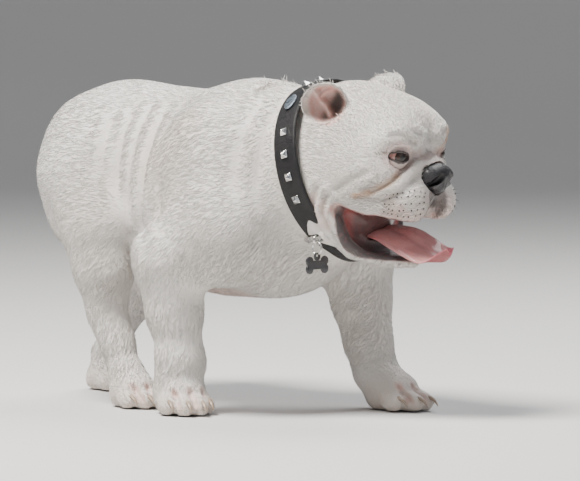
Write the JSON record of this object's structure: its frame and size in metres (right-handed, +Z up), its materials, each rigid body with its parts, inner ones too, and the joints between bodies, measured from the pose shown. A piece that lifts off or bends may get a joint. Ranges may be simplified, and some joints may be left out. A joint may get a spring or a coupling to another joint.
{
  "type": "english bulldog",
  "caption": "Life-size standing bulldog in mid-step, mouth open with the tongue out, wearing a studded leather collar with a bone-shaped tag.",
  "frame": {"origin": "middle of the whole dog seen from above, on the floor under its soles", "axes": "+X forward along the spine, +Y to the dog's left, +Z up; the head is turned about 13 degrees to the left"},
  "size_m": [0.6028, 0.3118, 0.3919],
  "materials": {
    "coat": "short flat white fur with faint tan freckles",
    "paw": "short white fur, pinkish between the toes",
    "ear": "thin fur outside, pink skin inside",
    "lip": "cream fur with dark wet lips",
    "eyeball": "dark brown, glossy",
    "eyelid": "dark moist rims",
    "nose": "black leather, moist",
    "tongue": "moist pink",
    "claw": "horn",
    "leather": "black, satin",
    "bright_metal": "polished",
    "plate": "blue-grey, satin",
    "tag": "black, plain, unmarked"
  },
  "bodies": {
    "root": {"torso": "coat", "neck": "coat", "head": "coat", "muzzle": "coat", "lower_jaw": "lip", "leg_fore_right": "coat", "paw_fore_right": "paw", "leg_fore_left": "coat", "paw_fore_left": "paw", "leg_hind_right": "coat", "paw_hind_right": "paw", "leg_hind_left": "coat", "paw_hind_left": "paw", "ear_right": "ear", "eye_right": "eyeball", "eyelids_right": "eyelid", "ear_left": "ear", "eye_left": "eyeball", "eyelids_left": "eyelid", "nose": "nose", "tongue": "tongue", "tail": "coat", "claw_fore_right_1": "claw", "claw_fore_right_2": "claw", "claw_fore_right_3": "claw", "claw_fore_right_4": "claw", "claw_fore_left_1": "claw", "claw_fore_left_2": "claw", "claw_fore_left_3": "claw", "claw_fore_left_4": "claw", "claw_hind_right_1": "claw", "claw_hind_right_2": "claw", "claw_hind_right_3": "claw", "claw_hind_right_4": "claw", "claw_hind_left_1": "claw", "claw_hind_left_2": "claw", "claw_hind_left_3": "claw", "claw_hind_left_4": "claw", "collar": "leather", "collar_plate": "plate", "stud_01": "bright_metal", "stud_02": "bright_metal", "stud_03": "bright_metal", "stud_04": "bright_metal", "stud_05": "bright_metal", "stud_06": "bright_metal", "stud_07": "bright_metal", "stud_08": "bright_metal", "stud_09": "bright_metal", "stud_10": "bright_metal", "stud_11": "bright_metal", "stud_12": "bright_metal", "collar_clasp": "bright_metal", "tag_ring": "bright_metal", "tag": "tag"}
  },
  "joints": []
}
